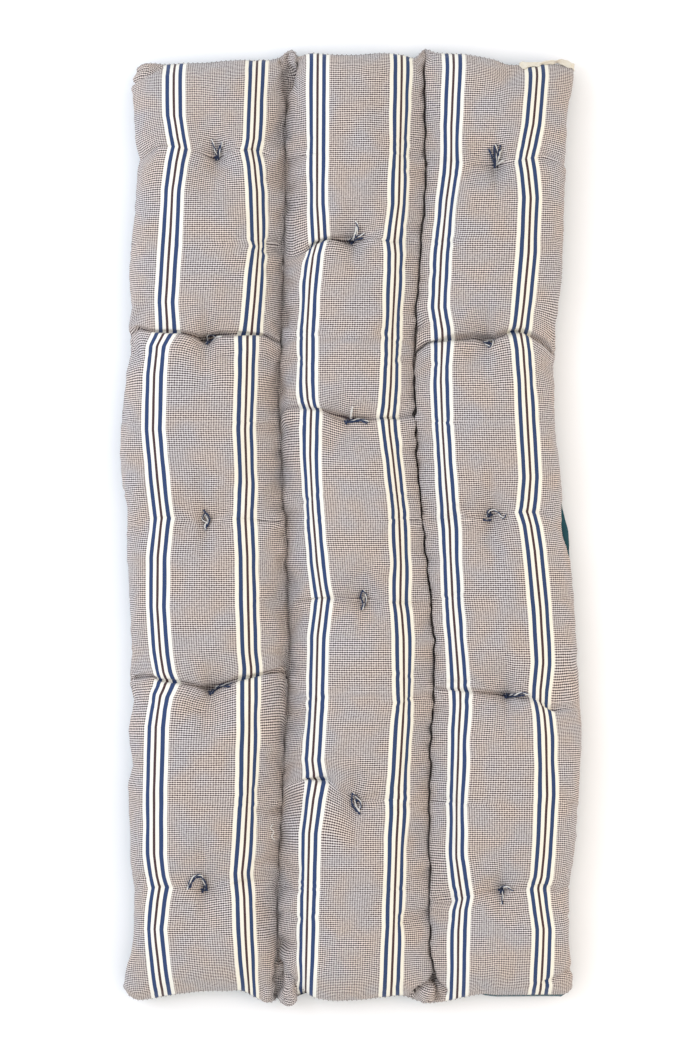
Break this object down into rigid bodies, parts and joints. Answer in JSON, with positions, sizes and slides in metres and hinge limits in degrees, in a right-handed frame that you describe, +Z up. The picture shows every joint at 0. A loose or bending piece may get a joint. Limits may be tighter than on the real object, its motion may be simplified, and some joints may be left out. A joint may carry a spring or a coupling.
{
  "type": "floor mattress",
  "caption": "Stuffed cotton floor mattress with long sewn channels, knotted yarn tufts, striped ticking above and plain teal cotton beneath.",
  "frame": {"origin": "centre of the bounding box on the floor", "axes": "+X across the mattress, +Y along it towards the head, +Z up from the floor"},
  "size_m": [0.8698, 1.82, 0.0959],
  "materials": {
    "striped_ticking": "fine check weave with cream, blue and plum stripes, matt",
    "teal_cotton": "plain weave, matt",
    "tuft_yarn": "twisted navy and white cotton yarn",
    "cream_ribbon": "narrow woven tape, blank"
  },
  "bodies": {
    "root": {"mattress_body": "striped_ticking", "underside_panel": "teal_cotton", "label_ribbon": "cream_ribbon", "tuft_01": "tuft_yarn", "tuft_02": "tuft_yarn", "tuft_03": "tuft_yarn", "tuft_04": "tuft_yarn", "tuft_05": "tuft_yarn", "tuft_06": "tuft_yarn", "tuft_07": "tuft_yarn", "tuft_08": "tuft_yarn", "tuft_09": "tuft_yarn", "tuft_10": "tuft_yarn", "tuft_11": "tuft_yarn", "tuft_12": "tuft_yarn", "tuft_13": "tuft_yarn", "tuft_14": "tuft_yarn"}
  },
  "joints": []
}
